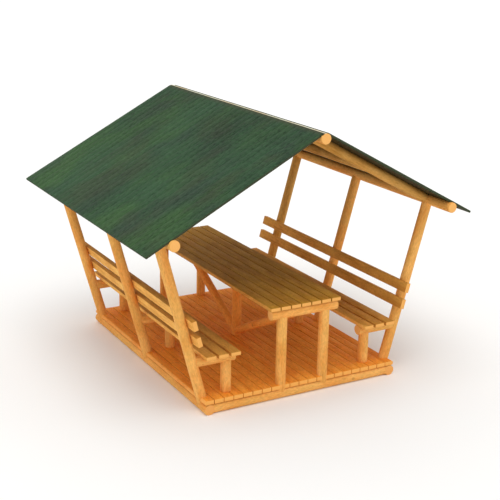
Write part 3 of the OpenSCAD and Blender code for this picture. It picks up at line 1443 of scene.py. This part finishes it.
@dataclass(kw_only=True)
class Bench(BoardWork):
    """A bench and its backrest along one side.

    Attributes:
        side: The bench's side.
        post_foot: The post row's axis at deck level.
        lean: The direction of a post's axis.
        back_size: Thickness and height of a back board.
        back_face: Distance of a back board's outer face from the post's axis.
        runs: How far up the posts the two back boards start.
    """

    side: Side
    post_foot: Vector
    lean: Vector
    count: int = 3
    gap: float = 0.025
    joint: float = 0.15
    back_size: Pair = (0.045, 0.096)
    back_face: float = 0.047
    runs: Pair = (0.546, 0.711)

    FIRST = {Side.LEFT: 26, Side.RIGHT: 34}
    FIRST_BACK = {Side.LEFT: 47, Side.RIGHT: 53}

    def build(self) -> None:
        """Models the bench."""
        node = f"seat_boards_{self.side.word}"
        seat = self.level_boards(node, self.FIRST[self.side])
        self.place(seat, Look.BOARDS, "boards", node)
        self.logs("bearers", X)
        self.logs("legs", Z)
        for run, level in zip(self.runs, ("lower", "upper")):
            self.back_board(run, level)

    def logs(self, kind: str, along: int) -> None:
        """Models a log at each row of posts. One that carries the seat is hewn flat.

        Args:
            kind: Their word in the node's name.
            along: The axis that they follow.
        """
        node = f"bench_{kind}_{self.side.word}"
        logs = []
        for row in Row:
            axis = axis_of(node, self.diameter)
            axis.y = middle_of(f"post_{self.side.word}_{row.word}").y
            logs.append(log_in_box(node, along, self.diameter, axis))
            if along == X:
                cut_away(logs[-1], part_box(node)[1], UP)
        self.place_log(joined(logs, f"{node}_peeled"), node)

    def back_board(self, run: float, level: str) -> None:
        """Models a back board, which leans with the posts.

        Args:
            run: How far up the posts it starts.
            level: Its word in the node's name.
        """
        node = f"back_board_{self.side.word}_{level}"
        low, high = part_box(node)
        thickness, height = self.back_size
        inward = Vector((-self.lean.z, 0, self.lean.x)) * self.side.value
        middle = self.post_foot + self.lean * (run + height / 2)
        middle += inward * (self.back_face + thickness / 2)
        middle.y = (low.y + high.y) / 2
        up = self.lean * self.side.value
        turn = Matrix((up, Vector((0, 1, 0)), inward)).transposed().to_4x4()
        # Its -Z face, the outer one, gets a painted highlight.
        board = Board(height, high.y - low.y, thickness, underside=1.0)
        first = self.FIRST_BACK[self.side] + len(level)
        piece = board.rack(f"{node}_planed", [Matrix.Translation(middle) @ turn], first)
        self.place(piece, Look.BOARDS, "boards", node)


# ---- The studio ----


@dataclass(frozen=True)
class Studio:
    """A pale floor, an even white sky, a soft lamp and the camera.

    Attributes:
        eye: The camera's place.
        yaw: How far the camera looks to the right of +Y, in degrees.
        pitch: How far it looks up, in degrees.
        roll: How far its picture is turned, in degrees.
        lens: Its focal length in millimetres.
        sensor: Width of its sensor in millimetres.
        sky: Strength of the sky as a light.
        lamp_from: The direction that the lamp's light comes from.
        lamp_spread: How wide the lamp looks from the pergola, in degrees.
        lamp_power: Its power in watts per square metre.
    """

    eye: Triple = (-5.027, -9.136, 4.257)
    yaw: float = 29.526
    pitch: float = -17.025
    roll: float = 1.056
    lens: float = 76.518
    sensor: float = 36.0
    sky: float = 0.83
    lamp_from: Triple = (-0.15, -0.2, 1.0)
    lamp_spread: float = 50.0
    lamp_power: float = 0.95

    FLOOR_SIZE = 120.0
    FLOOR_PAINT = (0.96, 0.953, 0.938, 1.0)
    WHITE = (1.0, 1.0, 1.0, 1.0)

    def build(self) -> None:
        """Builds the studio."""
        self.floor()
        self.world()
        self.lamp()
        self.camera()
        bpy.context.scene.view_settings.view_transform = "Standard"

    def floor(self) -> None:
        """Adds the floor."""
        deselect_all()
        bpy.ops.mesh.primitive_plane_add(size=self.FLOOR_SIZE)
        floor = bpy.context.object
        floor.name = "floor"
        paint = bpy.data.materials.new("floor_paint")
        paint.use_nodes = True
        shader = paint.node_tree.nodes["Principled BSDF"].inputs
        shader["Base Color"].default_value = self.FLOOR_PAINT
        shader["Roughness"].default_value = 1.0
        shader["Specular IOR Level"].default_value = 0.0
        floor.data.materials.append(paint)

    def world(self) -> None:
        """Adds the white sky, whose light is plain and whose picture is white."""
        world = bpy.data.worlds.new("sky")
        bpy.context.scene.world = world
        world.use_nodes = True
        wiring = Wiring(world.node_tree)
        background = world.node_tree.nodes["Background"].inputs
        wiring.feed(background["Color"], self.WHITE)
        path = wiring.add("ShaderNodeLightPath").outputs
        seen = wiring.math("MAXIMUM", path["Is Camera Ray"], path["Is Glossy Ray"])
        seen = wiring.math("MAXIMUM", seen, path["Is Transmission Ray"])
        strength = wiring.math("MULTIPLY_ADD", seen, 1.0 - self.sky, self.sky)
        wiring.feed(background["Strength"], strength)

    def lamp(self) -> None:
        """Adds a wide soft lamp, high over the roof."""
        data = bpy.data.lights.new("lamp", "SUN")
        data.angle = math.radians(self.lamp_spread)
        data.energy = self.lamp_power
        lamp = bpy.data.objects.new("lamp", data)
        bpy.context.collection.objects.link(lamp)
        away = -Vector(self.lamp_from)
        lamp.matrix_world = away.to_track_quat("-Z", "Y").to_matrix().to_4x4()

    def camera(self) -> None:
        """Adds the camera."""
        data = bpy.data.cameras.new("camera")
        data.lens = self.lens
        data.sensor_width = self.sensor
        camera = bpy.data.objects.new("camera", data)
        bpy.context.collection.objects.link(camera)
        turn = Matrix.Rotation(-math.radians(self.yaw), 4, "Z")
        tip = Matrix.Rotation(math.radians(90.0 + self.pitch), 4, "X")
        roll = Matrix.Rotation(math.radians(self.roll), 4, "Z")
        camera.matrix_world = Matrix.Translation(self.eye) @ turn @ tip @ roll
        bpy.context.scene.camera = camera


def main() -> None:
    """Builds the pergola's looks and the studio around them."""
    logging.basicConfig(level=logging.INFO, format="%(message)s")
    timber_frame = Frame()
    for part in (Base(), Deck(), timber_frame, RoofCover(), Table()):
        part.build()
    for side in Side:
        foot, lean = timber_frame.post_foot(side), timber_frame.lean(side)
        Bench(side=side, post_foot=foot, lean=lean).build()
    Studio().build()


if __name__ == "__main__":
    main()
